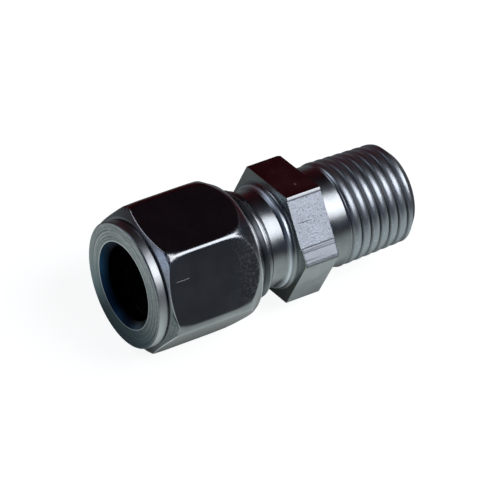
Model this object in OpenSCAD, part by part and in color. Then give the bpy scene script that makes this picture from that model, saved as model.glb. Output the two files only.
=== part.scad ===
// Straight tube fitting with a tapered pipe thread.
// A hex body has a socket for the tube at one end and a pipe thread at the other.
// A nut on the body drives two ferrules into the cone at the mouth of the socket.
// It is drawn finger tight with no tube in it, lying with one flat of the nut down.
// The axis runs along X, with the nut end at -X. The origin is on the axis, at the
// shoulder inside the body where the end of the tube stops.

/* [Tube socket] */
// Outside diameter of the tube
tube_od = 9.525; // [6:0.005:14]
// Radial clearance of the tube in the socket
socket_clearance = 0.065; // [0.02:0.005:0.1]
// Radial clearance of the tube in both ferrules
ferrule_clearance = 0.05; // [0.02:0.005:0.1]
// Radial clearance of the tube in the end of the nut
nut_bore_clearance = 0.1; // [0.05:0.01:0.3]
// Depth of the socket from the small end of its cone
socket_len = 7.15; // [4:0.05:12]
// Length of the cone at the mouth of the socket
cone_len = 3.0; // [2:0.1:4]
// Angle of the cone to the axis
cone_angle = 20; // [15:0.5:24]
// Diameter of the flow passage
flow_d = 7.1; // [3:0.1:8.4]

/* [Ferrules] */
// Wall at the thin front edge of the front ferrule
tip_wall = 0.15; // [0.08:0.01:0.3]
// Wall at the land of the front ferrule
land_wall = 0.94; // [0.7:0.01:1]
// Length of the land of the front ferrule
land_len = 1.9; // [1:0.1:3]
// Depth of the recess in the rear of the front ferrule
recess_depth = 0.6; // [0.3:0.05:0.7]
// Length of the waist of the back ferrule
waist_len = 0.9; // [0.5:0.05:2]
// Length of the flange of the back ferrule
flange_len = 0.7; // [0.4:0.05:1.5]
// Wall left at the rear edge of the back ferrule
rear_wall = 0.3; // [0.1:0.05:0.6]
// Gap between the cone, the ferrules and the nut when finger tight
seat_gap = 0.1; // [0.05:0.01:0.2]

/* [Nose of the body] */
// Wall from the socket to the crest of the nose thread
nose_wall = 2.316; // [2:0.01:4]
// Pitch of the nose thread
nose_pitch = 1.27; // [0.8:0.01:1.6]
// Chamfer where the nose thread starts
nose_lead = 0.5; // [0.2:0.05:0.8]
// Length of the nose thread past the tube stop
thread_past_stop = 0.44; // [-1:0.02:1.5]
// Width of the plain neck behind the nose thread
neck_len = 3.1; // [1.5:0.1:5]
// Height of the shoulder between the neck and the hex
shoulder_h = 0.4; // [0.2:0.05:0.6]
// Width of that shoulder
shoulder_len = 0.7; // [0.3:0.05:2]

/* [Hex of the body] */
// Length of the hex
hex_len = 5.0; // [3:0.1:12]
// Wall from the crest of the nose thread to a flat of the hex
hex_wall = 0.61; // [0.5:0.01:4]
// Turn of the body hex from the nut hex, in degrees
hex_turn = -15; // [-30:1:30]
// Depth of the milled band across one flat
band_depth = 0.12; // [0.05:0.01:0.3]
// Width of the milled band
band_w = 6.25; // [3:0.05:7.5]
// Land left between the milled band and the corner of the hex
band_land = 0.5; // [0.3:0.05:1.2]
// How far the corners of the hex are rounded off
corner_break = 0.1; // [0.05:0.01:0.3]

/* [Pipe thread] */
// Distance from the hex to the end of the pipe thread
pipe_len = 13.9; // [9:0.1:20]
// Crest radius at the small end of the pipe thread
pipe_r = 6.5; // [5.8:0.01:9]
// Pitch of the pipe thread
pipe_pitch = 1.411; // [0.9:0.001:2]
// Gain in radius for each millimetre of length
pipe_taper = 0.03125; // [0:0.00125:0.06]
// Plain neck between the hex and the pipe thread
pipe_neck_len = 3.3; // [2:0.1:5]
// Drop from the crest of the thread to that neck
pipe_neck_drop = 0.2; // [0.1:0.05:0.6]
// Chamfer at the end of the pipe thread
pipe_chamfer = 1.1; // [0.4:0.1:1.5]
// Chamfer inside the end of the flow passage
flow_chamfer = 0.3; // [0.1:0.05:0.6]

/* [Nut] */
// Length of the nut
nut_len = 14.95; // [13:0.05:20]
// Thickness of the end of the nut ahead of its seat
nut_end_len = 2.25; // [1.8:0.05:4]
// Wall from the crest of the nose thread to a flat of the nut
nut_wall = 1.587; // [1.2:0.01:4]
// Radial clearance of the nut on the nose thread
thread_clearance = 0.08; // [0.04:0.01:0.2]
// Radial clearance of the ferrules in the nut
cavity_clearance = 0.25; // [0.1:0.05:0.4]
// Free length ahead of the nose for tightening
advance_len = 2.3; // [1.6:0.1:3]
// Chamfer at the mouth of the tube bore
mouth_chamfer = 0.84; // [0.3:0.02:1.2]
// Step from a flat of the nut down to the front collar
collar_drop = 0.53; // [0.3:0.01:0.9]
// Width of the front collar
collar_len = 1.25; // [0.8:0.05:2]
// Rounding of the front collar
collar_round = 0.45; // [0.2:0.05:0.7]
// Width of the turned groove behind the collar
groove_w = 0.18; // [0.1:0.02:0.4]
// Depth of that groove
groove_depth = 0.25; // [0.1:0.05:0.4]
// How far the corners of the nut are rounded off
nut_corner_break = 0.2; // [0.05:0.01:0.4]
// Angle of the front chamfer to the end face
front_angle = 30; // [15:1:40]
// Distance from the groove to where the front chamfer meets the flats
front_flat = 0.13; // [0.05:0.01:0.3]
// Angle of the rear chamfer to the axis
rear_angle = 30; // [20:1:45]
// Distance from the rear face to where the chamfer meets the flats
rear_flat = 0.45; // [0.3:0.05:1.5]

/* [Hidden] */

round_fn = 96;
// Run of a cutting shape past the face that it opens
past = 1;
// Depth of a straight thread, and flat at its root, for each unit of pitch
thread_depth_ratio = 0.6134;
thread_root_ratio = 0.125;
// Depth of a pipe thread, and flat at its root, for each unit of pitch
pipe_depth_ratio = 0.55;
pipe_root_ratio = 0.05;
// Slant of a thread's flank across its depth
flank_slope = tan(30);
// Share of full depth in the first groove beside the neck, and its gain a turn
run_out_start = 0.35;
run_out_gain = 0.35;
// Direction of the flat with the milled band, before the hex is turned
band_flat_angle = 150;

// Radii that hold the tube
tube_r = tube_od / 2;
socket_r = tube_r + socket_clearance;
ferrule_r = tube_r + ferrule_clearance;
nut_bore_r = tube_r + nut_bore_clearance;
flow_r = flow_d / 2;

// Nose of the body
cone_x = -socket_len;
nose_x = cone_x - cone_len;
cone_mouth_r = socket_r + cone_len * tan(cone_angle);
nose_r = socket_r + nose_wall;
nose_depth = nose_pitch * thread_depth_ratio;
neck_r = nose_r - nose_depth;
shoulder_r = neck_r + shoulder_h;
neck_x = thread_past_stop + nose_depth;
shoulder_x = neck_x + neck_len - nose_depth;
hex_x = shoulder_x + shoulder_len;

// Hex of the body
hex_flat_r = nose_r + hex_wall;
hex_corner_r = hex_flat_r / cos(30);

// Pipe end
pipe_x = hex_x + hex_len;
pipe_end_x = pipe_x + pipe_len;
pipe_depth = pipe_pitch * pipe_depth_ratio;
pipe_neck_x = pipe_x + pipe_neck_len;
function pipe_crest_r(x) = pipe_r + (pipe_end_x - x) * pipe_taper;
pipe_neck_r = pipe_crest_r(pipe_neck_x) - pipe_neck_drop;

// Ferrules, from the cone of the body back to the seat of the nut
tip_r = ferrule_r + tip_wall;
land_r = ferrule_r + land_wall;
tip_x = cone_x - (tip_r - socket_r + seat_gap / cos(cone_angle)) / tan(cone_angle);
land_x = tip_x - (land_r - tip_r) / tan(cone_angle);
front_rear_x = land_x - land_len;
recess_r = ferrule_r + recess_depth;
flange_x = front_rear_x - waist_len;
bevel_x = flange_x - flange_len;
back_rear_r = ferrule_r + rear_wall;
back_rear_x = bevel_x - (land_r - back_rear_r);
// The nose of the back ferrule lies in the recess with this gap square to its faces
nose_gap = seat_gap / 4;

// Nut
seat_x = bevel_x - (land_r - nut_bore_r) - seat_gap * sqrt(2);
nut_x = seat_x - nut_end_len;
nut_rear_x = nut_x + nut_len;
nut_flat_r = nose_r + nut_wall;
nut_corner_r = nut_flat_r / cos(30);
nut_thread_r = nose_r + thread_clearance;
cavity_r = land_r + cavity_clearance;
advance_x = nose_x - advance_len;
mouth_r = nut_bore_r + mouth_chamfer;
collar_r = nut_flat_r - collar_drop;
nut_hex_x = nut_x + collar_len + groove_w;
// Distance along the axis that each chamfer takes from the flats to the corners
front_run = (nut_corner_r - nut_flat_r) * tan(front_angle);
rear_run = (nut_corner_r - nut_flat_r) / tan(rear_angle);

// Turns a profile of [radius, x] points about the X axis
module turned() {
    rotate([0, 90, 0])
        rotate_extrude($fn = round_fn)
            children();
}

// Hexagonal bar along X, with its corners rounded off to a circle
module hex_bar(flat_r, x, length, turn, corner_cut) {
    corner_r = flat_r / cos(30);
    rotate([0, 90, 0])
        translate([0, 0, x])
            intersection() {
                rotate([0, 0, 30 + turn])
                    cylinder(h = length, r = corner_r, $fn = 6);
                cylinder(h = length, r = corner_r - corner_cut, $fn = round_fn);
            }
}

// Groove between two crests: a V with a flat root, centred on x and open outwards
module thread_groove(x, crest, depth, root_flat) {
    mouth = root_flat / 2 + (depth + past) * flank_slope;
    polygon([
        [crest + past, x - mouth],
        [crest - depth, x - root_flat / 2],
        [crest - depth, x + root_flat / 2],
        [crest + past, x + mouth]
    ]);
}

// Grooves of the nose thread, from its lead to the neck
module nose_thread() {
    first_x = nose_x + nose_lead;
    for (x = [first_x : nose_pitch : thread_past_stop])
        thread_groove(x, nose_r, nose_depth, nose_pitch * thread_root_ratio);
}

// Grooves of the pipe thread, which follow its taper and run out towards the neck
module pipe_thread() {
    turns = floor((pipe_end_x - pipe_neck_x) / pipe_pitch);
    for (turn = [0 : turns - 1]) {
        x = pipe_neck_x + (turn + 0.5) * pipe_pitch;
        run_out = min(1, run_out_start + run_out_gain * turn);
        thread_groove(x, pipe_crest_r(x), pipe_depth * run_out, pipe_pitch * pipe_root_ratio);
    }
}

// Outside of the body, from the nose to the pipe end
body_profile = [
    [0, nose_x],
    [nose_r - nose_lead, nose_x],
    [nose_r, nose_x + nose_lead],
    [nose_r, thread_past_stop],
    [neck_r, neck_x],
    [neck_r, shoulder_x - shoulder_h],
    [shoulder_r, shoulder_x],
    [shoulder_r, hex_x + hex_len / 2],
    [pipe_neck_r, hex_x + hex_len / 2],
    [pipe_neck_r, pipe_neck_x - pipe_neck_drop],
    [pipe_crest_r(pipe_neck_x), pipe_neck_x],
    [pipe_crest_r(pipe_end_x - pipe_chamfer), pipe_end_x - pipe_chamfer],
    [pipe_r - pipe_chamfer, pipe_end_x],
    [0, pipe_end_x]
];

// Cone, socket and flow passage
socket_profile = [
    [0, nose_x - past],
    [cone_mouth_r + past * tan(cone_angle), nose_x - past],
    [socket_r, cone_x],
    [socket_r, 0],
    [flow_r, 0],
    [flow_r, pipe_end_x - flow_chamfer],
    [flow_r + flow_chamfer + past, pipe_end_x + past],
    [0, pipe_end_x + past]
];

// Shallow band milled along one flat of the hex, with a land on each side
module milled_band() {
    rotate([band_flat_angle + hex_turn, 0, 0])
        translate([hex_x - past, hex_flat_r - band_depth, band_land - hex_corner_r / 2])
            cube([hex_len + 2 * past, past, band_w]);
}

module body() {
    color("silver")
        difference() {
            union() {
                turned()
                    difference() {
                        polygon(body_profile);
                        nose_thread();
                        pipe_thread();
                    }
                hex_bar(hex_flat_r, hex_x, hex_len, hex_turn, corner_break);
            }
            turned() polygon(socket_profile);
            milled_band();
        }
}

// Outside of the nut: a round collar, a groove, and a chamfer at each end of the hex
module nut_outline() {
    // Front collar with a rounded edge
    intersection() {
        translate([0, nut_x])
            square([collar_r, collar_len]);
        union() {
            translate([0, nut_x])
                square([collar_r - collar_round, collar_len]);
            translate([0, nut_x + collar_round])
                square([collar_r, collar_len]);
            translate([collar_r - collar_round, nut_x + collar_round])
                circle(r = collar_round, $fn = round_fn);
        }
    }
    // Floor of the groove
    translate([0, nut_x])
        square([collar_r - groove_depth, collar_len + groove_w + past]);
    // Hex between its two chamfers
    polygon([
        [0, nut_hex_x],
        [nut_flat_r - front_flat / tan(front_angle), nut_hex_x],
        [nut_corner_r, nut_hex_x + front_flat + front_run],
        [nut_corner_r, nut_rear_x - rear_flat - rear_run],
        [nut_flat_r - rear_flat * tan(rear_angle), nut_rear_x],
        [0, nut_rear_x]
    ]);
}

// Inside of the nut: tube bore, seat, ferrule cavity and thread bore
nut_inside = [
    [0, nut_x - past],
    [mouth_r + past, nut_x - past],
    [nut_bore_r, nut_x + mouth_chamfer],
    [nut_bore_r, seat_x],
    [cavity_r, seat_x + cavity_r - nut_bore_r],
    [cavity_r, advance_x - (nut_thread_r - cavity_r)],
    [nut_thread_r, advance_x],
    [nut_thread_r, nut_rear_x - nose_lead],
    [nut_thread_r + nose_lead + past, nut_rear_x + past],
    [0, nut_rear_x + past]
];

module nut() {
    color("gainsboro")
        difference() {
            intersection() {
                turned() nut_outline();
                hex_bar(nut_flat_r, nut_x - past, nut_len + 2 * past, 0, nut_corner_break);
            }
            turned() polygon(nut_inside);
        }
}

// Cone to the front, a plain land, and a recess for the nose of the back ferrule
module front_ferrule() {
    color("lightgray")
        turned()
            polygon([
                [ferrule_r, tip_x],
                [tip_r, tip_x],
                [land_r, land_x],
                [land_r, front_rear_x],
                [recess_r, front_rear_x],
                [ferrule_r, front_rear_x + recess_depth]
            ]);
}

// Bevelled nose, a waist, and a flange with a bevel that the nut presses on
module back_ferrule() {
    nose_slip = nose_gap * sqrt(2);
    color("darkgray")
        turned()
            polygon([
                [ferrule_r, front_rear_x + recess_depth - nose_slip],
                [recess_r - nose_gap, front_rear_x - nose_slip + nose_gap],
                [recess_r - nose_gap, flange_x],
                [land_r, flange_x - nose_gap],
                [land_r, bevel_x],
                [back_rear_r, back_rear_x],
                [ferrule_r, back_rear_x]
            ]);
}

body();
nut();
front_ferrule();
back_ferrule();
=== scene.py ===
import math

import bpy
from mathutils import Matrix, Vector


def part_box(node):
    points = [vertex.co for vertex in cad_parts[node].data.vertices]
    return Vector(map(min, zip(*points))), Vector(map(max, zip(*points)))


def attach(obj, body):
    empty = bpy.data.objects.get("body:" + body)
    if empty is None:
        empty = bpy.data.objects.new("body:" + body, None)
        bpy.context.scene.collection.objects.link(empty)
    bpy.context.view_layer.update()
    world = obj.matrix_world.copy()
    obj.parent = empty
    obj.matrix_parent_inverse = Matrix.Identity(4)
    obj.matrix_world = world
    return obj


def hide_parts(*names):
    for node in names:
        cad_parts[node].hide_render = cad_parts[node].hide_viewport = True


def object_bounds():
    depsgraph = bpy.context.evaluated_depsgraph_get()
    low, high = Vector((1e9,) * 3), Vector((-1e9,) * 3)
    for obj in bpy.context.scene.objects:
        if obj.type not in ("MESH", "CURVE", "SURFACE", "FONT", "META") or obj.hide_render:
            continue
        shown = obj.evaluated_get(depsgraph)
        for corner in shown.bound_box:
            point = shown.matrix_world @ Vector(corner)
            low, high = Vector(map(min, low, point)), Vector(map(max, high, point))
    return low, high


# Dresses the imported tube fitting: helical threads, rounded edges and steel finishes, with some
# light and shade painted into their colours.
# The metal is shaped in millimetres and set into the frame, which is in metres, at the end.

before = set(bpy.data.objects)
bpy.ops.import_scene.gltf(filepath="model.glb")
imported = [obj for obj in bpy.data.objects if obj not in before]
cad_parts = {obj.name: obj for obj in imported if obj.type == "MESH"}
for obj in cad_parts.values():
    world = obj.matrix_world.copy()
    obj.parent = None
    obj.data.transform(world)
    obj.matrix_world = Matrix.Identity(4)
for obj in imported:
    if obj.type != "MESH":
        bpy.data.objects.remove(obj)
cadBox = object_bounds()
mm = 0.001
onAxis = 0.001  # nearer to the axis than this, in millimetres, a point is on it
bpy.ops.object.select_all(action="DESELECT")


def span(node):  # a node's lowest and highest corners, in millimetres
    low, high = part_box(node)
    return Vector(low) / mm, Vector(high) / mm


bodyLow, bodyHigh = span("body")
nutLow, nutHigh = span("nut")
print("frame loaded")


# ---- shaping tools

leastTurn = math.radians(8)  # a slighter corner stays as it is
mostReach = 0.45  # an arc takes no more than this share of a side


def rounded(path, radius, segments=3):
    # every corner inside an open path of (x, r) points becomes an arc
    out = [path[0]]
    for before, corner, after in zip(path, path[1:], path[2:]):
        here = Vector(corner)
        toBefore, toAfter = Vector(before) - here, Vector(after) - here
        turn = math.pi - toBefore.angle(toAfter)
        if turn < leastTurn:
            out.append(corner)
            continue
        reach = min(radius * math.tan(turn / 2), toBefore.length * mostReach,
                    toAfter.length * mostReach)
        start = here + toBefore.normalized() * reach
        end = here + toAfter.normalized() * reach
        for step in range(segments + 1):
            t = step / segments
            point = start.lerp(here, t).lerp(here.lerp(end, t), t)
            out.append((point.x, point.y))
    out.append(path[-1])
    return out


def drawProfile(name, path):
    # one point, extruded along the path in the XZ plane
    bpy.ops.object.select_all(action="DESELECT")
    bpy.ops.mesh.primitive_plane_add(size=1)
    piece = bpy.context.object
    piece.name = name
    bpy.ops.object.mode_set(mode="EDIT")
    bpy.ops.mesh.select_all(action="SELECT")
    bpy.ops.mesh.merge(type="CENTER")
    bpy.ops.transform.translate(value=(path[0][0], 0, path[0][1]))
    for (xFrom, rFrom), (xTo, rTo) in zip(path, path[1:]):
        bpy.ops.mesh.extrude_vertices_move(
            TRANSFORM_OT_translate={"value": (xTo - xFrom, 0, rTo - rFrom)})
    bpy.ops.object.mode_set(mode="OBJECT")
    return piece


def cleanUp(piece, gap=0.0005):
    bpy.context.view_layer.objects.active = piece
    bpy.ops.object.mode_set(mode="EDIT")
    bpy.ops.mesh.select_all(action="SELECT")
    bpy.ops.mesh.remove_doubles(threshold=gap)
    bpy.ops.mesh.normals_make_consistent(inside=False)
    bpy.ops.object.mode_set(mode="OBJECT")


def turned(name, path, steps):
    # the path starts and ends on the axis
    piece = drawProfile(name, path)
    bpy.ops.object.mode_set(mode="EDIT")
    bpy.ops.mesh.select_all(action="SELECT")
    bpy.ops.mesh.spin(steps=steps, angle=2 * math.pi, center=(0, 0, 0), axis=(1, 0, 0),
                      use_auto_merge=False)
    bpy.ops.object.mode_set(mode="OBJECT")
    cleanUp(piece)
    return piece


def combine(piece, tool, how):
    cut = piece.modifiers.new(how, "BOOLEAN")
    cut.object = tool
    cut.operation = how
    cut.solver = "EXACT"
    bpy.context.view_layer.objects.active = piece
    bpy.ops.object.modifier_apply(modifier=cut.name)
    bpy.data.objects.remove(tool)


threadFlank = math.radians(30)  # from square to the axis


def threadRod(name, thread, grow=0.0):
    # one pitch of profile, wound into a helix, cut square at both ends
    pitch, depth, crown = thread["pitch"], thread["depth"], thread["crown"]
    crest, rootFlat = thread["crestR"] + grow, thread["rootFlat"]
    flank = depth * math.tan(threadFlank)
    crestHalf = (pitch - rootFlat - 2 * flank) / 2
    first = thread["from"] - 2 * pitch
    ridge = [(crestHalf * step / 3, crest - crown * (step / 3) ** 2) for step in range(-3, 4)]
    path = [(first + x, r) for x, r in ridge]
    path += [(first + crestHalf + flank, crest - crown - depth),
             (first + crestHalf + flank + rootFlat, crest - crown - depth)]
    path += [(first + pitch + x, r) for x, r in ridge]
    wave = rounded(path, thread["rounding"], 3)
    # start and end in the middle of a crest, so that the turns join
    wave = [(first, crest)] + [p for p in wave if first < p[0] < first + pitch]
    wave.append((first + pitch, crest))
    rod = drawProfile(name, wave)
    screw = rod.modifiers.new("helix", "SCREW")
    screw.axis = "X"
    screw.angle = 2 * math.pi
    screw.screw_offset = pitch
    screw.iterations = math.ceil((thread["to"] - thread["from"]) / pitch) + 4
    screw.steps = screw.render_steps = thread["steps"]
    bpy.ops.object.modifier_apply(modifier=screw.name)
    cleanUp(rod)
    bpy.ops.object.mode_set(mode="EDIT")
    for place, keepInner in ((thread["from"], False), (thread["to"], True)):
        bpy.ops.mesh.select_all(action="SELECT")
        bpy.ops.mesh.bisect(plane_co=(place, 0, 0), plane_no=(1, 0, 0), use_fill=True,
                            clear_inner=not keepInner, clear_outer=keepInner, threshold=1e-5)
    bpy.ops.object.mode_set(mode="OBJECT")
    for vertex in rod.data.vertices:
        x, radius = vertex.co.x, math.hypot(vertex.co.y, vertex.co.z)
        if radius < onAxis:
            continue
        wanted = radius + (thread["to"] - x) * thread["taper"]
        wanted = max(wanted, thread["runOut"](x))
        vertex.co.y *= wanted / radius
        vertex.co.z *= wanted / radius
    cleanUp(rod)
    return rod


def toFrame(piece, node, smoothUnder=32):
    # into metres, smooth except at true edges, and tied to the CAD body of the same name
    piece.data.transform(Matrix.Scale(mm, 4))
    bpy.ops.object.select_all(action="DESELECT")
    piece.select_set(True)
    bpy.context.view_layer.objects.active = piece
    bpy.ops.object.shade_smooth_by_angle(angle=math.radians(smoothUnder))
    weigh = piece.modifiers.new("weighted", "WEIGHTED_NORMAL")
    weigh.keep_sharp = True
    weigh.weight = 80
    bpy.ops.object.modifier_apply(modifier=weigh.name)
    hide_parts(node)
    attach(piece, node)


# ---- body: nose thread, neck, hex, neck and pipe thread

past = 1.0  # how far a cutter reaches past what it cuts
sector = math.radians(60)  # of one flat of a hex
halfFlat = sector / 2
nearTurn = 5  # degrees about the axis that count as the same corner

body = {
    "noseR": 7.1435, "lead": 0.5, "neckR": 6.365, "threadEnd": 0.44,
    "coreR": 6.015, "pipeCoreR": (5.6, 5.1),
    "flareX": 3.14, "flareLen": 0.4, "shoulderLen": 0.25, "shoulderFillet": 0.44,
    "hexX": 4.24, "hexLen": 5.0, "hexFlatR": 7.7535, "hexCorner": 45.0, "hexEdge": 0.1,
    "softCorner": 165, "softEdge": 0.3, "wornEnds": ((45, 1), (165, 0), (165, 1)), "wornSize": 0.6,
    "bandFlat": 135, "bandDepth": 0.11, "bandW": 6.25, "bandLand": 0.47,
    "pipeNeckX": 12.54, "pipeNeckR": 6.63, "pipeR": 6.5, "taper": 1 / 32, "chamfer": 1.13,
    "coneMouthR": 5.92, "coneX": -7.15, "socketR": 4.8275, "flowR": 3.55, "flowChamfer": 0.3,
    "fillet": 0.12, "steps": 192, "blankSteps": 180,
}


def noRunOut(x):
    return 0.0


noseThread = {
    "pitch": 1.27, "depth": 0.74, "crown": 0.0, "crestR": body["noseR"], "rootFlat": 0.16,
    "rounding": 0.05, "from": bodyLow.x, "to": 1.3, "taper": 0.0, "steps": 128, "runOut": noRunOut,
}


def pipeRunOut(x):  # the roots rise to the neck over the first two turns
    return 6.62 - (x - body["pipeNeckX"]) * 0.25


pipeThread = {
    "pitch": 1.411, "depth": 0.38, "crown": 0.085, "crestR": body["pipeR"], "rootFlat": 0.05,
    "rounding": 0.12, "from": body["pipeNeckX"] - 0.6, "to": bodyHigh.x, "taper": body["taper"],
    "steps": 128, "runOut": pipeRunOut,
}


def crestAt(x):
    return body["pipeR"] + (bodyHigh.x - x) * body["taper"]


def hexBar():
    # the hex, with one soft corner along its length and a few worn ones at its ends
    x, length = body["hexX"], body["hexLen"]
    bpy.ops.object.select_all(action="DESELECT")
    bpy.ops.mesh.primitive_cylinder_add(vertices=6, radius=body["hexFlatR"] / math.cos(halfFlat),
                                        depth=length, location=(0, 0, 0))
    bar = bpy.context.object
    bar.name = "bodyHex"
    bar.data.transform(Matrix.Rotation(math.radians(90), 4, "Y"))
    corner = bar.data.vertices[0].co
    turn = math.radians(body["hexCorner"]) - math.atan2(corner.z, corner.y)
    bar.data.transform(Matrix.Translation((x + length / 2, 0, 0)) @ Matrix.Rotation(turn, 4, "X"))
    bpy.ops.object.mode_set(mode="EDIT")
    bpy.ops.mesh.select_all(action="DESELECT")
    bpy.ops.object.mode_set(mode="OBJECT")
    for vertex in bar.data.vertices:
        turn = math.degrees(math.atan2(vertex.co.z, vertex.co.y))
        vertex.select = any(
            abs(turn - angle) < nearTurn and abs(vertex.co.x - x - length * end) < 0.01
            for angle, end in body["wornEnds"])
    bpy.ops.object.mode_set(mode="EDIT")
    bpy.ops.mesh.bevel(offset=body["wornSize"], segments=4, affect="VERTICES")
    bpy.ops.mesh.select_all(action="DESELECT")
    bpy.ops.object.mode_set(mode="OBJECT")
    for side in bar.data.edges:
        a, b = (bar.data.vertices[i].co for i in side.vertices)
        middle = (a + b) / 2
        turn = math.degrees(math.atan2(middle.z, middle.y))
        side.select = abs(a.x - b.x) > length / 2 and abs(turn - body["softCorner"]) < nearTurn
    bpy.ops.object.mode_set(mode="EDIT")
    bpy.ops.mesh.select_mode(type="EDGE")
    bpy.ops.mesh.bevel(offset=body["softEdge"], segments=5, affect="EDGES")
    bpy.ops.mesh.select_all(action="DESELECT")
    bpy.ops.mesh.edges_select_sharp(sharpness=math.radians(40))
    bpy.ops.mesh.bevel(offset=body["hexEdge"], segments=2, affect="EDGES")
    bpy.ops.mesh.select_mode(type="VERT")
    bpy.ops.object.mode_set(mode="OBJECT")
    return bar


def milledCutter():
    # shallow band along one flat, nearer to its upper corner
    side = body["hexFlatR"] / math.cos(halfFlat) / 2
    bpy.ops.object.select_all(action="DESELECT")
    bpy.ops.mesh.primitive_cube_add(size=1)
    cutter = bpy.context.object
    cutter.data.transform(Matrix.Diagonal((body["hexLen"] + 2, 1, body["bandW"], 1)))
    bpy.ops.object.mode_set(mode="EDIT")
    bpy.ops.mesh.select_all(action="SELECT")
    bpy.ops.mesh.bevel(offset=0.05, segments=2, affect="EDGES")
    bpy.ops.object.mode_set(mode="OBJECT")
    turn = Matrix.Rotation(math.radians(body["bandFlat"]), 4, "X")
    place = Matrix.Translation((body["hexX"] + body["hexLen"] / 2,
                                body["hexFlatR"] - body["bandDepth"] + 0.5,
                                body["bandLand"] - side + body["bandW"] / 2))
    cutter.data.transform(turn @ place)
    return cutter


def makeBody():
    noseX, endX = bodyLow.x, bodyHigh.x
    over = 0.3  # how far a blank stands proud of the crests that it doesn't cut
    inset = 0.1  # how far the core stops inside both ends
    shoulderX, shoulderR = body["flareX"] + body["flareLen"], body["neckR"] + body["flareLen"]
    filletX, bend = shoulderX + body["shoulderLen"], body["shoulderFillet"]
    core = rounded([
        (noseX + inset, 0), (noseX + inset, body["coreR"]), (body["threadEnd"], body["coreR"]),
        (body["threadEnd"] + 0.2, body["neckR"]), (body["flareX"], body["neckR"]),
        (shoulderX, shoulderR), (filletX, shoulderR)], body["fillet"])
    for step in range(1, 6):  # hollow corner between the shoulder and the hex
        lean = math.radians(15 * step)
        core.append((filletX + bend * math.sin(lean), shoulderR + bend * (1 - math.cos(lean))))
    core += rounded([
        (body["hexX"] + 0.4, shoulderR + bend), (body["hexX"] + 2, shoulderR),
        (body["hexX"] + 3, body["pipeNeckR"]), (body["pipeNeckX"], body["pipeNeckR"]),
        (body["pipeNeckX"] + 0.8, body["pipeCoreR"][0]), (endX - inset, body["pipeCoreR"][1]),
        (endX - inset, 0)], body["fillet"])
    piece = turned("turnedBody", core, body["steps"])
    bar = hexBar()
    combine(bar, milledCutter(), "DIFFERENCE")
    combine(piece, bar, "UNION")
    print("body core and hex")

    nose = threadRod("noseThread", noseThread)
    crest = body["noseR"] + over
    blankEnd = noseThread["to"] - 0.02
    combine(nose, turned("noseBlank", [
        (noseX, 0), (noseX, body["noseR"] - body["lead"]), (noseX + body["lead"] + over, crest),
        (body["threadEnd"] - over, crest), (blankEnd, body["neckR"] - 0.1), (blankEnd, 0)],
        body["blankSteps"]), "INTERSECT")
    combine(piece, nose, "UNION")

    pipe = threadRod("pipeThread", pipeThread)
    farCrest = crestAt(endX - body["chamfer"])
    combine(pipe, turned("pipeBlank", [
        (body["pipeNeckX"] - 0.3, 0), (body["pipeNeckX"] - 0.3, body["pipeNeckR"] - 0.1),
        (body["pipeNeckX"] + over + 0.1, crestAt(body["pipeNeckX"]) + over),
        (endX - body["chamfer"] - over, farCrest + over), (endX, farCrest - body["chamfer"]),
        (endX, 0)], body["blankSteps"]), "INTERSECT")
    combine(piece, pipe, "UNION")
    print("threads on the body")

    slope = (body["coneMouthR"] - body["socketR"]) / (body["coneX"] - noseX)
    combine(piece, turned("bodyBore", [
        (noseX - past, 0), (noseX - past, body["coneMouthR"] + past * slope),
        (body["coneX"], body["socketR"]), (0, body["socketR"]), (0, body["flowR"]),
        (endX - body["flowChamfer"], body["flowR"]),
        (endX + past, body["flowR"] + body["flowChamfer"] + past),
        (endX + past, 0)], body["steps"]), "DIFFERENCE")
    toFrame(piece, "body")
    return piece


# ---- nut: a turned blank pressed to a hex with soft corners, then bored and tapped

nut = {
    "flatR": 8.731, "cornerRound": 1.32, "keenCorner": 120, "keenRound": 0.65, "tipRound": 2.2,
    "edgeBlend": 0.14, "tipBlend": 0.6, "frontTip": 0.5, "frontFade": 1.3, "rearTip": 1.6,
    "rearFade": 1.8, "collarR": 8.2, "collarLen": 1.25, "collarRound": 0.22, "grooveW": 0.18,
    "grooveR": 7.98, "frontAngle": 30, "frontFlat": 0.13, "rearAngle": 30, "rearFlat": 0.45,
    "rearRound": 0.15, "rows": (30, 20, 44), "frontRows": 1.2, "rearRows": 3.2, "stepsPerFlat": 72,
    "crowding": 0.3, "mouthR": 5.70, "boreR": 4.8625, "seatX": 2.25, "cavityR": 6.0, "tapX": 4.3,
    "tapClear": 0.07, "tapRunIn": 1.2, "reliefSlope": 1.1, "reliefOver": 0.1,
    "reliefEnd": (0.4, 0.8), "leadIn": 0.7, "leadOver": 0.5, "boreSteps": 160,
}
nutHexX = nutLow.x + nut["collarLen"] + nut["grooveW"]
# the radius grows fast along the front chamfer and falls slowly along the rear one
frontSlope = 1 / math.tan(math.radians(nut["frontAngle"]))
rearSlope = math.tan(math.radians(nut["rearAngle"]))


def softMin(a, b, width):
    near = max(width - abs(a - b), 0) / width
    return min(a, b) - near * near * width / 4


def offFlat(angle):  # how far an angle is from the middle of its flat; one flat faces +Z
    return (angle - math.radians(90) + halfFlat) % sector - halfFlat


def hexReach(angle, cornerRound):
    # distance from the axis to the rounded hex at an angle in radians
    off = offFlat(angle)
    inner = nut["flatR"] - cornerRound
    if abs(math.tan(off)) * nut["flatR"] <= inner * math.tan(halfFlat):
        return nut["flatR"] / math.cos(off)
    centre = inner / math.cos(halfFlat)
    toCorner = halfFlat - abs(off)
    return centre * math.cos(toCorner) + math.sqrt(
        cornerRound ** 2 - (centre * math.sin(toCorner)) ** 2)


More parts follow.
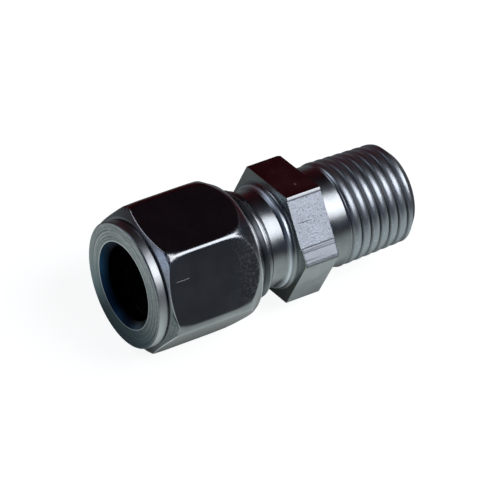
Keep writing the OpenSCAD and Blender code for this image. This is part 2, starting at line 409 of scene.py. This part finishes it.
def roundAt(x, angle):
    # one corner is keener, and all are rounder where they run out into the chamfers
    keen = abs(math.degrees(angle) - nut["keenCorner"]) < math.degrees(halfFlat)
    middle = nut["keenRound"] if keen else nut["cornerRound"]
    fromFront = max(x - nutHexX - nut["frontTip"], 0) / nut["frontFade"]
    fromRear = max(nutHigh.x - nut["rearTip"] - x, 0) / nut["rearFade"]
    near = max(math.exp(-fromFront ** 2), math.exp(-fromRear ** 2))
    return middle + (nut["tipRound"] - middle) * near


def nutBlankPath():
    # collar, groove, and the two chamfers that the hex runs out into
    x0, x1, hexX = nutLow.x, nutHigh.x, nutHexX
    startR = nut["flatR"] - nut["frontFlat"] * frontSlope
    front = rounded([
        (x0, 0), (x0, nut["collarR"]), (x0 + nut["collarLen"], nut["collarR"]),
        (x0 + nut["collarLen"] + 0.03, nut["grooveR"]), (hexX - 0.02, nut["grooveR"]),
        (hexX, startR)], nut["collarRound"], 6)
    few, some, many = nut["rows"]
    fine, finest = nut["frontRows"], nut["rearRows"]
    places = [hexX + fine * row / few for row in range(1, few)]
    places += [hexX + fine + (x1 - (fine + finest) - hexX) * row / some for row in range(some)]
    places += [x1 - finest + finest * row / many for row in range(many)]
    rows = []
    for x in places:
        frontCone = startR + (x - hexX) * frontSlope
        rearCone = nut["flatR"] + (x1 - nut["rearFlat"] - x) * rearSlope
        rows.append((x, min(softMin(frontCone, rearCone, 0.2), 11)))  # outside the hex's corners
    rearR = nut["flatR"] - nut["rearFlat"] * rearSlope
    back = rounded([rows[-1], (x1, rearR), (x1, 0)], nut["rearRound"], 4)
    return front + rows[:-1] + back


def makeNut():
    x0, x1 = nutLow.x, nutHigh.x
    piece = turned("pressedNut", nutBlankPath(), 6 * nut["stepsPerFlat"])
    for vertex in piece.data.vertices:
        radius = math.hypot(vertex.co.y, vertex.co.z)
        if radius < onAxis:
            continue
        angle = math.atan2(vertex.co.z, vertex.co.y)
        off = offFlat(angle)
        part = off / halfFlat
        crowd = nut["crowding"]  # more rows at the corners
        moved = angle - off + ((1 + crowd) * part - crowd * part ** 3) * sector / 2
        blend = nut["edgeBlend"] + (nut["tipBlend"] - nut["edgeBlend"]) * abs(part) ** 4
        wanted = softMin(radius, hexReach(moved, roundAt(vertex.co.x, moved)), blend)
        vertex.co.y, vertex.co.z = wanted * math.cos(moved), wanted * math.sin(moved)
    print("nut blank pressed to its hex")

    # the tap starts a whole number of turns from the nose thread, so that the two mesh
    start = x0 + nut["tapX"] + nut["tapRunIn"]
    turns = math.floor((start - noseThread["from"]) / noseThread["pitch"])
    tap = dict(noseThread)
    tap["from"], tap["to"] = noseThread["from"] + noseThread["pitch"] * turns, x1 + past
    hole = threadRod("nutTap", tap, grow=nut["tapClear"])
    seat = x0 + nut["seatX"]
    tapR = body["noseR"] + nut["tapClear"]
    relief = tapR + nut["reliefOver"]
    reliefEnd, cavityEnd = (tap["from"] + along for along in nut["reliefEnd"])
    combine(hole, turned("nutBore", [
        (x0 - past, 0), (x0 - past, nut["mouthR"] + past),
        (x0 + nut["mouthR"] - nut["boreR"], nut["boreR"]), (seat, nut["boreR"]),
        (seat + nut["cavityR"] - nut["boreR"], nut["cavityR"]),
        (x0 + nut["tapX"] - nut["reliefSlope"], nut["cavityR"]), (x0 + nut["tapX"], relief),
        (reliefEnd, relief), (cavityEnd, nut["cavityR"]), (x1 - nut["leadIn"], nut["cavityR"]),
        (x1 + nut["leadOver"], tapR + nut["leadOver"]), (x1 + nut["leadOver"], 0)],
        nut["boreSteps"]), "UNION")
    combine(piece, hole, "DIFFERENCE")
    toFrame(piece, "nut")
    return piece


nutPiece = makeNut()
bodyPiece = makeBody()
print("pieces made", len(nutPiece.data.polygons), len(bodyPiece.data.polygons))


# ---- steel finishes, with some light and shade painted in

def fill(tree, piece, inputs):
    for name, value in (inputs or {}).items():
        if isinstance(value, bpy.types.NodeSocket):
            tree.links.new(value, piece.inputs[name])
        else:
            piece.inputs[name].default_value = value


def put(tree, kind, inputs=None, **settings):
    piece = tree.nodes.new("ShaderNode" + kind)
    for name, value in settings.items():
        setattr(piece, name, value)
    fill(tree, piece, inputs)
    return piece


def maths(tree, how, a, b=0.0, c=0.0):
    return put(tree, "Math", {0: a, 1: b, 2: c}, operation=how).outputs[0]


def times(tree, first, *others):
    for other in others:
        first = maths(tree, "MULTIPLY", first, other)
    return first


def added(tree, base, part, share):  # base and a share of a part
    return maths(tree, "MULTIPLY_ADD", part, share, base)


def apart(tree, a, b):
    return maths(tree, "ABSOLUTE", maths(tree, "SUBTRACT", a, b))


def band(tree, value, low, high, toLow=0.0, toHigh=1.0):
    # a smooth step between two values
    ends = {"Value": value, "From Min": low, "From Max": high, "To Min": toLow, "To Max": toHigh}
    return put(tree, "MapRange", ends, interpolation_type="SMOOTHSTEP").outputs[0]


def paint(tree, fac, below, above):
    # mixes two colours, each a socket or three numbers
    below, above = ((*end, 1) if isinstance(end, tuple) else end for end in (below, above))
    return put(tree, "Mix", {0: fac, 6: below, 7: above}, data_type="RGBA").outputs[2]


def mixed(tree, fac, a, b):
    return put(tree, "Mix", {0: fac, 2: a, 3: b}).outputs[0]


def noise(tree, vector, scale, **settings):
    return put(tree, "TexNoise", {"Vector": vector, "Scale": scale, **settings}).outputs[0]


def axesOf(tree, vector):
    return put(tree, "SeparateXYZ", {0: vector}).outputs


def metres(tree):
    return put(tree, "TexCoord").outputs["Object"]


def scaled(tree, scale=(1000, 1000, 1000), turn=0.0):  # in millimetres unless a scale is given
    return put(tree, "Mapping", {"Vector": metres(tree), "Rotation": (turn, 0, 0),
                                 "Scale": scale}).outputs[0]


def newGroup(name, inputs, outputs):
    group = bpy.data.node_groups.new(name, "ShaderNodeTree")
    for label, value in inputs.items():
        kind = "NodeSocketFloat" if isinstance(value, float) else "NodeSocketVector"
        socket = group.interface.new_socket(name=label, in_out="INPUT", socket_type=kind)
        socket.default_value = value
    for label in outputs:
        kind = "NodeSocketVector" if label == "Rings" else "NodeSocketFloat"
        group.interface.new_socket(name=label, in_out="OUTPUT", socket_type=kind)
    start, end = group.nodes.new("NodeGroupInput"), group.nodes.new("NodeGroupOutput")
    return group, start.outputs, end.inputs


def useGroup(tree, group, inputs=None):
    piece = tree.nodes.new("ShaderNodeGroup")
    piece.node_tree = group
    fill(tree, piece, inputs)
    return piece.outputs


def aboutAxisGroup():
    # place on the part in millimetres: along the axis, out from it, and both for turned marks
    group, start, end = newGroup("aboutAxis", {}, ("Along", "Out", "Rings"))
    x, y, z = axesOf(group, scaled(group))
    across = put(group, "CombineXYZ", {0: 0.0, 1: y, 2: z}).outputs[0]
    out = put(group, "VectorMath", {0: across}, operation="LENGTH").outputs["Value"]
    rings = put(group, "CombineXYZ", {0: x, 1: out, 2: times(group, y, 0.04)}).outputs[0]
    for value, socket in zip((x, out, rings), end):
        group.links.new(value, socket)
    return group


def latheMarksGroup(aboutAxis):
    # fine rings that a cutting tool leaves on ends and on round faces
    group, start, end = newGroup("latheMarks", {"Pitch": 0.3, "Uneven": 0.5}, ("Height", "Tone"))
    rings = useGroup(group, aboutAxis)["Rings"]
    size = maths(group, "DIVIDE", 1.0, start["Pitch"])
    fine = noise(group, rings, size, Detail=3.0, Roughness=0.7)
    wide = noise(group, rings, times(group, size, 0.23), Detail=1.0)
    group.links.new(mixed(group, start["Uneven"], fine, wide), end["Height"])
    group.links.new(band(group, fine, 0.32, 0.68), end["Tone"])
    return group


def grainGroup():
    # bar-stock skin: fine grain, cloudy patches and sparse pits
    group, start, end = newGroup("steelGrain", {"Size": 0.25}, ("Height", "Cloud", "Pits"))
    spot = scaled(group)
    size = maths(group, "DIVIDE", 1.0, start["Size"])
    grain = noise(group, spot, size, Detail=4.0, Roughness=0.65)
    cloud = noise(group, spot, 0.33, Detail=3.0)
    specks = put(group, "TexVoronoi", {"Vector": spot, "Scale": 1.9, "Randomness": 1.0})
    pits = times(group, band(group, specks.outputs["Distance"], 0.12, 0.24, 1.0, 0.0),
                 band(group, noise(group, spot, 0.9), 0.42, 0.52))
    for value, socket in zip((grain, band(group, cloud, 0.3, 0.7), pits), end):
        group.links.new(value, socket)
    return group


def scratchGroup():
    # one small mark: where it is, how it lies, and its half length, depth and width in metres
    group, start, end = newGroup("scratch", {"Place": (0.0, 0.0, 0.0), "Turn": (0.0, 0.0, 0.0),
                                             "Half": (0.001, 0.0001, 0.001)}, ("Mask",))
    local = put(group, "Mapping", {"Vector": metres(group), "Location": start["Place"],
                                   "Rotation": start["Turn"], "Scale": start["Half"]},
                vector_type="TEXTURE").outputs[0]
    ball = put(group, "TexGradient", {"Vector": local}, gradient_type="SPHERICAL").outputs["Fac"]
    group.links.new(band(group, ball, 0.0, 0.5), end["Mask"])
    return group


def hexFoldGroup():
    # distance from the axis square to the nearest flat of a hex with a flat on top
    group, start, end = newGroup("hexFold", {}, ("Reach",))
    spot = scaled(group)
    reach = 0.0
    for turn in (30, 90, 150):
        way = (0.0, math.cos(math.radians(turn)), math.sin(math.radians(turn)))
        along = put(group, "VectorMath", {0: spot, 1: way}, operation="DOT_PRODUCT")
        reach = maths(group, "MAXIMUM", reach, maths(group, "ABSOLUTE", along.outputs["Value"]))
    group.links.new(reach, end["Reach"])
    return group


aboutAxis = aboutAxisGroup()
latheMarks = latheMarksGroup(aboutAxis)
steelGrain = grainGroup()
scratch = scratchGroup()
hexFold = hexFoldGroup()


def mark(tree, spot, colour):
    # paints one mark: its place and half size are in metres, its turn is in degrees
    turn = tuple(math.radians(angle) for angle in spot.get("turn", (0, 0, 0)))
    places = {"Place": spot["place"], "Turn": turn, "Half": spot["half"]}
    mask = useGroup(tree, scratch, places)["Mask"]
    return mask, paint(tree, times(tree, mask, spot["share"]), colour, spot["tone"])


def newSteel(name):
    material = bpy.data.materials.new(name)
    material.use_nodes = True
    shader = material.node_tree.nodes["Principled BSDF"]
    shader.inputs["Metallic"].default_value = 1
    return material, material.node_tree, shader


def finishSteel(tree, shader, colour, rough, height, depth):
    bump = put(tree, "Bump", {"Height": height, "Distance": depth, "Strength": 1.0})
    for value, label in ((colour, "Base Color"), (rough, "Roughness"), (bump.outputs[0], "Normal")):
        tree.links.new(value, shader.inputs[label])


nutFinish = {
    "dark": (0.24, 0.25, 0.265), "light": (0.31, 0.32, 0.33), "dull": (0.46, 0.48, 0.50),
    # ringShade is painted shade, darkening the ring face towards its bottom
    "ringDark": (0.085, 0.10, 0.105), "ring": (0.40, 0.415, 0.435), "ringShade": (0.05, 0.12, 0.15),
    # chamfer and inside paint shade into the mouth: dark blue on the chamfer, near black in the bore
    "chamfer": (0.013, 0.047, 0.10), "inside": (0.004, 0.008, 0.016),
    # coneShade and coneHighlight paint shade low on the front chamfer and a highlight high on it;
    # edge is the colour of the painted edge highlights
    "coneShade": (0.10, 0.115, 0.115), "coneHighlight": (0.82, 0.86, 0.95), "edge": (0.86, 0.88, 0.91),
    # collar paints a highlight on the near side of the collar
    "collar": (0.50, 0.515, 0.53), "dullShare": 0.32, "ringGrain": 0.25,
    # from where to where, in metres, the dull skin, the painted highlight on the collar, the painted
    # light and shade on the front chamfer and the painted shade on the ring face fade in
    "dullY": (-0.0035, -0.006), "collarY": (-0.003, -0.0055), "coneY": (-0.0022, -0.0042),
    "coneZ": (0.002, 0.0075), "ringShadeZ": (0.001, -0.006),
    # how strong the painted highlights are along the edges: front and rear chamfers, rear end and
    # mouth
    "frontGlint": 1.0, "rearGlint": 0.16, "endGlint": 0.65, "rimGlint": 0.6,
    "roughFlat": 0.2, "roughTurned": 0.33, "grainSize": 0.34, "ringPitch": 0.27, "depth": 0.000010,
    "scratch": {"place": (-0.0132, -0.00675, 0.00578), "turn": (150, 0, 0),
                "half": (0.0013, 0.0004, 0.00004), "tone": (0.42, 0.43, 0.45), "share": 0.34},
    "dent": {"place": (-0.01504, -0.00894, 0.00195), "turn": (149.1, -12.95, 7.63),
             "half": (0.00009, 0.0004, 0.0015), "tone": (0.02, 0.02, 0.03), "share": 0.8},
    # a painted highlight at the front end of the keener corner
    "tipHighlight": {"place": (-0.0143, -0.00485, 0.0084), "half": (0.0009, 0.0006, 0.0006),
                "tone": (0.8, 0.8, 0.82), "share": 0.6},
}


def nutSteel():
    material, tree, shader = newSteel("nutSteel")
    look = nutFinish
    where = useGroup(tree, aboutAxis)
    along, out = where["Along"], where["Out"]
    rings = useGroup(tree, latheMarks, {"Pitch": look["ringPitch"]})
    grain = useGroup(tree, steelGrain, {"Size": look["grainSize"]})
    spot = axesOf(tree, metres(tree))
    y, z = spot["Y"], spot["Z"]
    frontX, rearX, hexX = nutLow.x, nutHigh.x, nutHexX
    onEnd = band(tree, along, frontX + 0.02, frontX + 0.12, 1.0, 0.0)
    outside = band(tree, out, nut["flatR"] - 1.0, nut["flatR"] - 0.6)
    onHex = times(tree, band(tree, along, hexX - 0.1, hexX + 0.1), outside)
    inside = band(tree, out, nut["mouthR"] - 0.04, nut["mouthR"] + 0.02, 1.0, 0.0)
    rearward = band(tree, along, rearX - 5.5, rearX - 0.5)

    # painted highlights: thin bright lines where the flats meet the two chamfers, at the rear end
    # and at the mouth
    frontCone = maths(tree, "MULTIPLY_ADD", along, frontSlope,
                      nut["flatR"] - (hexX + nut["frontFlat"]) * frontSlope)
    rearCone = maths(tree, "MULTIPLY_ADD", along, -rearSlope,
                     nut["flatR"] + (rearX - nut["rearFlat"]) * rearSlope)
    edges = 0.0
    for cone, strength in ((frontCone, look["frontGlint"]), (rearCone, look["rearGlint"])):
        near = band(tree, maths(tree, "SUBTRACT", cone, out), 0.05, 0.16, strength, 0.0)
        edges = maths(tree, "MAXIMUM", edges, near)
    flatGap = maths(tree, "SUBTRACT", nut["flatR"], useGroup(tree, hexFold)["Reach"])
    edges = times(tree, edges, band(tree, flatGap, 0.03, 0.12, 1.0, 0.0), onHex)
    endGlint = band(tree, along, rearX - 0.3, rearX - 0.16, 0.0, look["endGlint"])
    edges = maths(tree, "MAXIMUM", edges, times(tree, endGlint, outside))
    rim = band(tree, apart(tree, out, nut["mouthR"] + 0.05), 0.02, 0.08, 1.0, 0.0)
    rim = times(tree, rim, onEnd, look["rimGlint"])

    colour = paint(tree, grain["Cloud"], look["dark"], look["light"])
    dull = times(tree, rearward, onHex, band(tree, grain["Height"], 0.48, 0.62),
                 band(tree, y, *look["dullY"]))
    colour = paint(tree, times(tree, dull, look["dullShare"]), colour, look["dull"])
    # painted highlight: the collar is lighter on the near side
    collarHighlightFac = times(tree, band(tree, out, nut["collarR"] - 0.35, nut["collarR"] - 0.15),
                     band(tree, along, hexX - 0.3, hexX - 0.2, 1.0, 0.0),
                     band(tree, y, *look["collarY"]))
    colour = paint(tree, collarHighlightFac, colour, look["collar"])
    # painted light and shade: the front chamfer is palest high up on the near side beside the middle
    # corner and darker below, and the ring face gets painted shade towards its bottom
    underCone = maths(tree, "SUBTRACT", frontCone, out)
    onChamfer = times(tree, onHex, band(tree, underCone, 0.02, 0.08, 1.0, 0.0))
    coneLightAndShade = paint(tree, band(tree, z, *look["coneZ"]), look["coneShade"], look["coneHighlight"])
    coneLightFac = times(tree, onChamfer, band(tree, grain["Height"], 0.3, 0.6, 0.45, 0.9),
                    band(tree, y, *look["coneY"]))
    colour = paint(tree, coneLightFac, colour, coneLightAndShade)
    ringFac = mixed(tree, look["ringGrain"], rings["Tone"], band(tree, grain["Height"], 0.36, 0.62))
    ringTone = paint(tree, ringFac, look["ringDark"], look["ring"])
    # painted shade: the ring face darker towards its bottom
    ringTone = paint(tree, band(tree, z, *look["ringShadeZ"], 0.0, 0.7), ringTone, look["ringShade"])
    colour = paint(tree, onEnd, colour, ringTone)
    # painted shade in the mouth: the chamfer dark blue, the bore beyond it near black
    inMouth = band(tree, out, nut["boreR"], nut["mouthR"])
    colour = paint(tree, inside, colour, paint(tree, inMouth, look["inside"], look["chamfer"]))
    # painted highlights on the edges and on the mouth rim
    colour = paint(tree, maths(tree, "MAXIMUM", rim, edges), colour, look["edge"])
    cut, colour = mark(tree, look["scratch"], colour)
    colour = mark(tree, look["dent"], colour)[1]
    # painted highlight at the front end of the keener corner
    tipGlint, colour = mark(tree, look["tipHighlight"], colour)

    rough = mixed(tree, onHex, look["roughTurned"], look["roughFlat"])
    keen = maths(tree, "MAXIMUM", times(tree, cut, look["scratch"]["share"]), edges)
    for part, share in ((tipGlint, 0.2), (grain["Height"], 0.06), (keen, 0.36), (collarHighlightFac, 0.07),
                        (dull, 0.09)):
        rough = added(tree, rough, part, share)
    speckle = times(tree, grain["Height"], added(tree, 0.05, rearward, 0.8))
    turnedMarks = times(tree, rings["Height"], added(tree, 0.2, onEnd, 0.8))
    height = added(tree, mixed(tree, onHex, turnedMarks, speckle), cut, -0.8)
    finishSteel(tree, shader, colour, rough, height, look["depth"])
    return material


bodyFinish = {
    "dark": (0.24, 0.25, 0.265), "light": (0.33, 0.345, 0.36), "panel": (0.45, 0.485, 0.555),
    # step paints shade along the milled band's steps and the strip's edges
    "panelDark": (0.33, 0.35, 0.38), "pit": (0.07, 0.07, 0.08), "step": (0.05, 0.055, 0.065),
    "strip": (0.40, 0.425, 0.47), "stripDark": (0.16, 0.17, 0.19),
    # endShade and endLit paint shade below and light above on the hex's end face
    "endShade": (0.04, 0.06, 0.05), "endLit": (0.45, 0.49, 0.46), "endZ": (-0.007, 0.006),
    # rim paints a highlight along the shoulder's rim and bright nicks on the thread crests
    "rim": (0.74, 0.79, 0.87),
    # root paints shade into the thread roots, and inside paints shade into the bore
    "root": (0.16, 0.17, 0.18), "crest": (0.35, 0.375, 0.41), "inside": (0.05, 0.06, 0.07),
    "roughTurned": 0.26, "roughHex": 0.24, "roughPanel": 0.40, "grainSize": 0.26,
    "turnedPitch": 0.22, "depth": 0.000008,
    "scratch": {"place": (0.0058, -0.00476, 0.00604), "turn": (135, 0, 0),
                "half": (0.0014, 0.0004, 0.00009), "tone": (0.12, 0.12, 0.13), "share": 0.7},
    "nick": {"place": (0.00696, -0.00025, 0.00809), "half": (0.0002, 0.0003, 0.0004),
             "tone": (0.8, 0.8, 0.8), "share": 1.0},
}


def bodySteel():
    material, tree, shader = newSteel("bodySteel")
    look = bodyFinish
    where = useGroup(tree, aboutAxis)
    along, out = where["Along"], where["Out"]
    rings = useGroup(tree, latheMarks, {"Pitch": look["turnedPitch"]})
    grain = useGroup(tree, steelGrain, {"Size": look["grainSize"]})
    brushed = noise(tree, scaled(tree, (20, 1000, 1000)), 3.0, Detail=1.0)
    hexX, farX = body["hexX"], body["hexX"] + body["hexLen"]
    onHex = times(tree, band(tree, along, hexX - 0.02, hexX + 0.05),
                  band(tree, along, farX - 0.05, farX + 0.02, 1.0, 0.0))
    # the milled band lies on the side towards -Y and +Z, just under the flat
    spot = axesOf(tree, scaled(tree, turn=math.radians(-body["bandFlat"])))
    outward, across = spot["Y"], spot["Z"]
    side = body["hexFlatR"] / math.cos(halfFlat) / 2
    bandStart, bandEnd = body["bandLand"] - side, body["bandLand"] - side + body["bandW"]
    onFlat = times(tree, onHex, band(tree, outward, body["hexFlatR"] - 0.3, body["hexFlatR"] - 0.2))
    milled = times(tree, onFlat, band(tree, across, bandStart, bandStart + 0.06),
                   band(tree, across, bandEnd - 0.06, bandEnd, 1.0, 0.0))
    steps = 0.0
    for edge in (bandStart, bandEnd):
        near = band(tree, apart(tree, across, edge), 0.06, 0.16, 1.0, 0.0)
        steps = maths(tree, "MAXIMUM", steps, near)
    steps = times(tree, steps, onFlat)
    colour = paint(tree, grain["Cloud"], look["dark"], look["light"])
    panelTone = paint(tree, band(tree, grain["Height"], 0.3, 0.6), look["panelDark"], look["panel"])
    colour = paint(tree, milled, colour, panelTone)

    # threads: bright on the crests with bright nicks, and painted shade in the roots; a painted
    # highlight runs along the shoulder's rim
    crest = maths(tree, "MULTIPLY_ADD", along, -body["taper"],
                  body["pipeR"] + bodyHigh.x * body["taper"])
    belowCrest = maths(tree, "SUBTRACT", crest, out)
    belowNose = maths(tree, "SUBTRACT", body["noseR"], out)
    onPipe = band(tree, along, body["pipeNeckX"] + 0.2, body["pipeNeckX"] + 0.6)
    onNose = band(tree, along, body["threadEnd"], body["threadEnd"] + 0.1, 1.0, 0.0)
    root = maths(tree, "MAXIMUM", times(tree, onPipe, band(tree, belowCrest, 0.25, 0.45)),
                 times(tree, onNose, band(tree, belowNose, 0.35, 0.75)))
    top = times(tree, onPipe, band(tree, belowCrest, 0.05, 0.25, 1.0, 0.0))
    colour = paint(tree, root, colour, look["root"])
    colour = paint(tree, top, colour, look["crest"])
    colour = paint(tree, times(tree, grain["Pits"], top, 0.5), colour, look["rim"])
    shoulderX = body["flareX"] + body["flareLen"]
    # painted highlight along the shoulder's rim
    shoulderGlint = times(tree, band(tree, along, shoulderX - 0.32, shoulderX - 0.05),
                     band(tree, along, shoulderX + 0.15, shoulderX + 0.35, 1.0, 0.0),
                     band(tree, out, body["neckR"] + 0.05, body["neckR"] + 0.15))
    colour = paint(tree, times(tree, shoulderGlint, 0.8), colour, look["rim"])
    # painted shade inside the bore
    inside = times(tree, band(tree, out, body["socketR"] + 0.05, body["socketR"] + 0.3, 1.0, 0.0),
                   band(tree, along, bodyHigh.x - 0.4, bodyHigh.x - 0.2, 1.0, 0.0))
    colour = paint(tree, inside, colour, look["inside"])

    pits = times(tree, grain["Pits"], milled)
    colour = paint(tree, times(tree, pits, 0.6), colour, look["pit"])
    # painted shade along the steps of the milled band
    colour = paint(tree, times(tree, steps, 0.8), colour, look["step"])
    cut, colour = mark(tree, look["scratch"], colour)
    nick, colour = mark(tree, look["nick"], colour)
    # the strip beside the band is brushed along, with painted shade at its edges; the end of the hex
    # gets painted shade below and painted light above
    onStrip = times(tree, onFlat, band(tree, across, bandEnd, bandEnd + 0.1))
    stripTone = paint(tree, band(tree, brushed, 0.36, 0.56), look["stripDark"], look["strip"])
    colour = paint(tree, onStrip, colour, stripTone)
    stripEdge = band(tree, across, side - 0.3, side - 0.14)
    for inner, outer in ((hexX + 0.3, hexX + 0.12), (farX - 0.3, farX - 0.12)):
        stripEdge = maths(tree, "MAXIMUM", stripEdge, band(tree, along, inner, outer))
    colour = paint(tree, times(tree, stripEdge, onStrip, 0.6), colour, look["step"])
    z = axesOf(tree, metres(tree))["Z"]
    # painted shade and light: the end face of the hex darker towards the bottom, lighter towards the
    # top
    endFace = times(tree, band(tree, along, hexX - 0.05, hexX + 0.03),
                    band(tree, along, hexX + 0.03, hexX + 0.12, 1.0, 0.0))
    endLightAndShade = paint(tree, band(tree, z, *look["endZ"]), look["endShade"], look["endLit"])
    colour = paint(tree, endFace, colour, endLightAndShade)

    rough = mixed(tree, onHex, look["roughTurned"], look["roughHex"])
    rough = mixed(tree, milled, rough, look["roughPanel"])
    rough = mixed(tree, maths(tree, "MAXIMUM", onStrip, nick), rough, look["roughPanel"])
    for part, share in ((onPipe, 0.1), (shoulderGlint, 0.12), (grain["Cloud"], 0.04)):
        rough = added(tree, rough, part, share)
    lines = times(tree, brushed, onFlat, band(tree, across, bandEnd - 0.1, bandEnd + 0.1))
    hexHeight = mixed(tree, milled, lines, times(tree, grain["Height"], 3.6))
    hexHeight = added(tree, hexHeight, pits, -1.2)
    height = added(tree, mixed(tree, onHex, rings["Height"], hexHeight), cut, -1.0)
    finishSteel(tree, shader, colour, rough, height, look["depth"])
    return material


ferruleFinish = {"dark": (0.30, 0.30, 0.31), "light": (0.46, 0.46, 0.47), "rough": 0.2,
                 "pitch": 0.18, "depth": 0.000005}


def ferruleSteel():
    material, tree, shader = newSteel("ferruleSteel")
    rings = useGroup(tree, latheMarks, {"Pitch": ferruleFinish["pitch"]})
    colour = paint(tree, rings["Tone"], ferruleFinish["dark"], ferruleFinish["light"])
    rough = added(tree, ferruleFinish["rough"], rings["Tone"], 0.06)
    finishSteel(tree, shader, colour, rough, rings["Height"], ferruleFinish["depth"])
    return material


def dress(piece, material):
    piece.data.materials.clear()
    piece.data.materials.append(material)


dress(nutPiece, nutSteel())
dress(bodyPiece, bodySteel())
ferrules = ferruleSteel()
dress(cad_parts["front_ferrule"], ferrules)
dress(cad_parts["back_ferrule"], ferrules)
print("steel finishes on")


# ---- studio

studio = {
    "floorTone": (0.93, 0.945, 0.94), "floorSize": 1.6, "floorGlow": 0.97, "floorLit": 0.28,
    "aim": (0.003, 0.0, 0.0),
    "keyFrom": (0.232, -0.195, 0.400), "keySize": (0.36, 0.34), "keyPower": 1.5,
    "keyTone": (0.97, 0.98, 1.0),
    "backFrom": (-0.25, 0.30, 0.36), "backSize": (0.3, 0.2), "backPower": 0.35,
    "backTone": (0.75, 0.86, 1.0),
    # what the metal mirrors, from the horizon up to overhead, before and behind the part
    "roomBefore": ((0.0, (0.080, 0.052, 0.045)), (0.06, (0.036, 0.040, 0.048)),
                   (0.30, (0.035, 0.050, 0.085)), (1.0, (0.030, 0.042, 0.070))),
    "roomBehind": ((0.0, (0.100, 0.012, 0.016)), (0.35, (0.038, 0.001, 0.002)),
                   (0.70, (0.005, 0.0, 0.002)), (1.0, (0.020, 0.012, 0.020))),
    "turnY": (0.05, 0.45),
    "windowX": (-0.75, -0.93), "windowZ": (0.35, 0.12), "windowTone": (0.42, 0.48, 0.60),
    # painted shade and shadow: the metal sees less of the paper behind the part, a painted shadow
    # under it, and less far in front of it and to its left
    "behind": (0.004, 0.012), "behindDim": 0.92, "underShadow": (0.004, 0.011), "underDim": 0.88,
    "nearX": (-0.030, -0.016), "far": (0.012, 0.11), "farDim": 0.8,
    "left": (-0.032, -0.075), "leftDim": 0.8, "metalTone": (0.64, 0.72, 0.69),
}


def boxLight(name, which):
    lamp = bpy.data.lights.new(name, "AREA")
    lamp.shape = "RECTANGLE"
    lamp.size, lamp.size_y = studio[which + "Size"]
    lamp.energy = studio[which + "Power"]
    lamp.color = studio[which + "Tone"]
    holder = bpy.data.objects.new(name, lamp)
    bpy.context.collection.objects.link(holder)
    holder.location = studio[which + "From"]
    aim = Vector(studio["aim"]) - holder.location
    holder.rotation_euler = aim.to_track_quat("-Z", "Y").to_euler()


def floorPaper():
    # plain paper that also shows white to the camera, and a greener tone with painted shade and
    # shadow in the metal
    paper = bpy.data.materials.new("floorPaper")
    paper.use_nodes = True
    tree = paper.node_tree
    shader = tree.nodes["Principled BSDF"]
    lit = (share * studio["floorLit"] for share in studio["floorTone"])
    shader.inputs["Base Color"].default_value = (*lit, 1)
    shader.inputs["Roughness"].default_value = 0.95
    shader.inputs["Specular IOR Level"].default_value = 0.0
    rays = put(tree, "LightPath").outputs
    spot = axesOf(tree, metres(tree))
    x, y = spot["X"], spot["Y"]
    aside = maths(tree, "ABSOLUTE", y)
    behind = band(tree, added(tree, y, x, 0.5), *studio["behind"])
    underShadow = times(tree, band(tree, aside, *studio["underShadow"], 1.0, 0.0),
                  band(tree, x, *studio["nearX"]))
    far = put(tree, "MapRange", {"Value": aside, "From Min": studio["far"][0],
                                 "From Max": studio["far"][1]}).outputs[0]
    left = band(tree, x, *studio["left"])
    # painted shadow and shade on the paper as the metal sees it
    inMetal = rays["Is Glossy Ray"]
    for part, dim in zip((behind, underShadow, far, left), ("behindDim", "underDim", "farDim", "leftDim")):
        inMetal = times(tree, inMetal, added(tree, 1.0, part, -studio[dim]))
    seen = maths(tree, "MAXIMUM", rays["Is Camera Ray"], inMetal)
    paperTone = paint(tree, rays["Is Camera Ray"], studio["metalTone"], studio["floorTone"])
    glow = put(tree, "Emission", {"Color": paperTone,
                                  "Strength": times(tree, seen, studio["floorGlow"])})
    both = put(tree, "AddShader", {0: shader.outputs[0], 1: glow.outputs[0]})
    tree.links.new(both.outputs[0], tree.nodes["Material Output"].inputs["Surface"])
    return paper


def roomWorld():
    world = bpy.data.worlds.new("room")
    world.use_nodes = True
    tree = world.node_tree
    x, y, z = axesOf(tree, put(tree, "TexCoord").outputs["Generated"])
    sides = []
    for tones in (studio["roomBefore"], studio["roomBehind"]):
        ramp = put(tree, "ValToRGB", {0: z})
        stops = ramp.color_ramp.elements
        while len(stops) < len(tones):
            stops.new(0.5)
        for stop, (at, colour) in zip(stops, tones):
            stop.position, stop.color = at, (*colour, 1)
        sides.append(ramp.outputs[0])
    room = paint(tree, band(tree, y, *studio["turnY"]), *sides)
    toLeft = times(tree, band(tree, x, *studio["windowX"]), band(tree, z, *studio["windowZ"]))
    room = paint(tree, toLeft, room, studio["windowTone"])
    seen = put(tree, "LightPath").outputs["Is Camera Ray"]
    tree.links.new(paint(tree, seen, room, (1, 1, 1)), tree.nodes["Background"].inputs["Color"])
    return world


def makeStudio():
    bpy.ops.mesh.primitive_plane_add(size=studio["floorSize"], location=(0, 0, cadBox[0].z))
    floor = bpy.context.object
    floor.name = "floor"
    floor.data.materials.append(floorPaper())
    boxLight("keyBox", "key")
    boxLight("backBox", "back")
    bpy.context.scene.world = roomWorld()


def makeCamera():
    view = {"place": (-0.2573, -0.301837, 0.391593), "lens": 322.736,
            "right": (0.83438, -0.53272, 0.1415), "up": (0.29816, 0.65214, 0.69701)}
    right, up = Vector(view["right"]), Vector(view["up"])
    camera = bpy.data.objects.new("camera", bpy.data.cameras.new("camera"))
    bpy.context.collection.objects.link(camera)
    turn = Matrix((right, up, right.cross(up))).transposed().to_4x4()
    camera.matrix_world = Matrix.Translation(view["place"]) @ turn
    camera.data.lens = view["lens"]
    camera.data.sensor_width = 36
    camera.data.clip_start, camera.data.clip_end = 0.01, 5
    bpy.context.scene.camera = camera


makeStudio()
makeCamera()
bpy.context.scene.view_settings.view_transform = "Standard"
